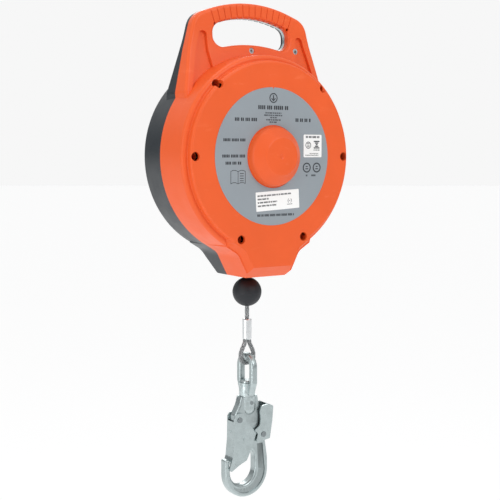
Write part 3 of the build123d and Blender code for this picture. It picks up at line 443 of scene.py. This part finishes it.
def ring_mark(bm, x, z, radius, width, y, start=0.0, stop=2 * math.pi):
    """An inked ring, or the part of it from start to stop."""
    steps = 40
    for k in range(steps):
        a = start + (stop - start) * k / steps
        b = start + (stop - start) * (k + 1) / steps
        quad = [(radius, a), (radius, b), (radius - width, b), (radius - width, a)]
        prism(bm,
              [Vector(((x + r * math.cos(t)) * MM, y, AXIS_Z + (z + r * math.sin(t)) * MM)) for r,
               t in quad])


def stroke(bm, points, width, y):
    """A drawn line of ink through the points."""
    for (x0, z0), (x1, z1) in zip(points, points[1:]):
        turn = math.atan2(z1 - z0, x1 - x0)
        slab(bm, (x0 + x1) / 2, (z0 + z1) / 2, math.hypot(x1 - x0, z1 - z0) + width * 0.7, width,
             y, turn, 0.1)


def book(bm, x, z, y):
    """Open book: read the instructions."""
    for side in (-1, 1):
        top = [(x, z + 5.6), (x + side * 3, z + 6.8), (x + side * 6, z + 6.8),
               (x + side * 8.6, z + 5.8)]
        low = [(px, pz - 12.2) for px, pz in top]
        stroke(bm, top, 0.55, y)
        stroke(bm, low, 0.55, y)
        stroke(bm, [top[-1], low[-1]], 0.55, y)
    stroke(bm, [(x, z + 5.6), (x, z - 6.6)], 0.5, y)
    for row in range(4):
        slab(bm, x + 4.4, z + 3.6 - row * 2.4, 4.6, 0.7, y)


def finish_print(name, bm):
    """Make the inked bars one piece on the housing."""
    mesh = bpy.data.meshes.new(name)
    bm.normal_update()
    bm.to_mesh(mesh)
    bm.free()
    mesh.materials.append(ink)
    piece = link(name, mesh)
    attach(piece, "housing")


bm = bmesh.new()
words(bm, 0, 49.5, 38, 4.0, LABEL_Y)
ring_mark(bm, 0, 59.2, 5.0, 1.1, LABEL_Y)
slab(bm, 0, 59.9, 1.3, 4.4, LABEL_Y)
stroke(bm, [(-2.2, 58.6), (0, 56.6), (2.2, 58.6)], 1.1, LABEL_Y)
for row, width in enumerate((20, 23, 8, 18, 10)):
    words(bm, 0, 44.0 - row * 2.3, width, 1.5, LABEL_Y)
words(bm, -33.5, 37, 27, 3.4, LABEL_Y)
words(bm, 37.5, 37.5, 20, 3.6, LABEL_Y)
words(bm, -46.5, 16.5, 28, 2.9, LABEL_Y)
words(bm, -47.3, 0.5, 29, 3.0, LABEL_Y)
words(bm, -48.5, -6.5, 19, 3.0, LABEL_Y)
book(bm, -43, -20.5, LABEL_Y)
words(bm, 3, -59.5, 46, 2.4, LABEL_Y)
for x in (42.5, 55.5):
    ring_mark(bm, x, -11.5, 5.2, 1.3, LABEL_Y)
    slab(bm, x, -10.3, 2.6, 1.0, LABEL_Y)
    slab(bm, x, -12.7, 3.6, 1.0, LABEL_Y)
words(bm, 43, -19.6, 3.6, 1.9, LABEL_Y)
words(bm, 51.5, -19.6, 6.2, 1.9, LABEL_Y)
finish_print("label_print", bm)

bm = bmesh.new()
TILT = math.radians(3)
for row, width in enumerate((42, 14, 24, 23)):
    down = 5.8 - row * 3.4
    x = 5.5 - 25 + width / 2
    words(bm, x + 0.05 * -down, -44.5 + down + math.tan(TILT) * (x - 5.5), width, 1.7, STICKER_Y,
          TILT)
ring_mark(bm, 20.5, -45.2, 2.5, 0.5, STICKER_Y, math.radians(120), math.radians(240))
ring_mark(bm, 20.5, -45.2, 2.5, 0.5, STICKER_Y, math.radians(-60), math.radians(60))
slab(bm, 20.5, -45.2, 2.0, 0.5, STICKER_Y, 0.6)
words(bm, 20.5, -48.8, 6.5, 0.8, STICKER_Y, TILT)
finish_print("sticker_print", bm)

bm = bmesh.new()
words(bm, 50, 20.3, 18, 2.3, STICKER_Y)
ring_mark(bm, 44.3, 11.8, 3.6, 0.7, STICKER_Y)
for row in range(3):
    slab(bm, 44.3, 13.6 - row * 1.7, 3.4, 0.7, STICKER_Y)
for row, width in enumerate((7.6, 4.6, 2.4, 4.6, 7.6)):
    slab(bm, 55.2, 15.8 - row * 1.7, width, 1.25, STICKER_Y)
words(bm, 55.2, 6.8, 8, 1.0, STICKER_Y)
words(bm, 52, 3.2, 12, 0.7, STICKER_Y)
words(bm, 49, 1.4, 17, 0.9, STICKER_Y)
finish_print("approval_print", bm)


# ---------------------------------------------------------------- stage and light
def make_floor():
    bm = bmesh.new()
    bmesh.ops.create_circle(bm, cap_ends=True, segments=96, radius=60)
    mesh = bpy.data.meshes.new("floor")
    bm.to_mesh(mesh)
    bm.free()
    floor = link("floor", mesh)
    floor.location.z = cad_low[2] - PAYOUT - FLOOR_GAP
    material, _, shader = new_material("floor_paper", (0.86, 0.86, 0.86), 0.9, specular=0.1)
    shader.inputs["Emission Color"].default_value = (1, 1, 1, 1)
    shader.inputs["Emission Strength"].default_value = 0.30
    mesh.materials.append(material)


def area_light(name, place, target, size, power, tall=None):
    data = bpy.data.lights.new(name, "AREA")
    data.shape = "RECTANGLE"
    data.size, data.size_y = size, tall or size
    data.energy = power
    lamp = bpy.data.objects.new(name, data)
    bpy.context.collection.objects.link(lamp)
    lamp.location = place
    lamp.rotation_euler = (Vector(target) - Vector(place)).to_track_quat("-Z", "Y").to_euler()


make_floor()
centre = (0, 0, -0.2)
area_light("key", (0.5, -1.9, 1.1), centre, 1.1, 15.5)
area_light("left", (-2.0, -0.6, 0.2), centre, 0.5, 9, 1.8)
area_light("low_left", (-1.4, -0.2, -0.55), (-0.08, 0, -0.2), 0.3, 1.6)
area_light("top", (-0.2, 0.3, 1.9), centre, 1.2, 9)
area_light("back", (0.8, 1.8, 0.6), centre, 0.8, 8)

world = bpy.data.worlds.new("world")
bpy.context.scene.world = world
world.use_nodes = True
bpy.context.scene.view_settings.view_transform = "Standard"
tree = world.node_tree
place = tree.nodes.new("ShaderNodeTexCoord")
parts = tree.nodes.new("ShaderNodeSeparateXYZ")
tree.links.new(place.outputs["Generated"], parts.inputs["Vector"])
sky = ramp(tree, span(tree, parts.outputs["Z"], 0, 1, -1, 1),
           [(0.30, (0.50, 0.50, 0.50)), (0.46, (0.08, 0.085, 0.09)), (0.56, (0.20, 0.21, 0.22)),
            (0.75, (0.85, 0.85, 0.85))])
seen = tree.nodes.new("ShaderNodeLightPath")
mix = tree.nodes.new("ShaderNodeMix")
mix.data_type = "RGBA"
tree.links.new(seen.outputs["Is Camera Ray"], mix.inputs["Factor"])
tree.links.new(sky, mix.inputs[6])
mix.inputs[7].default_value = (0.93, 0.93, 0.93, 1)
tree.links.new(mix.outputs[2], tree.nodes["Background"].inputs["Color"])
tree.nodes["Background"].inputs["Strength"].default_value = 1.0
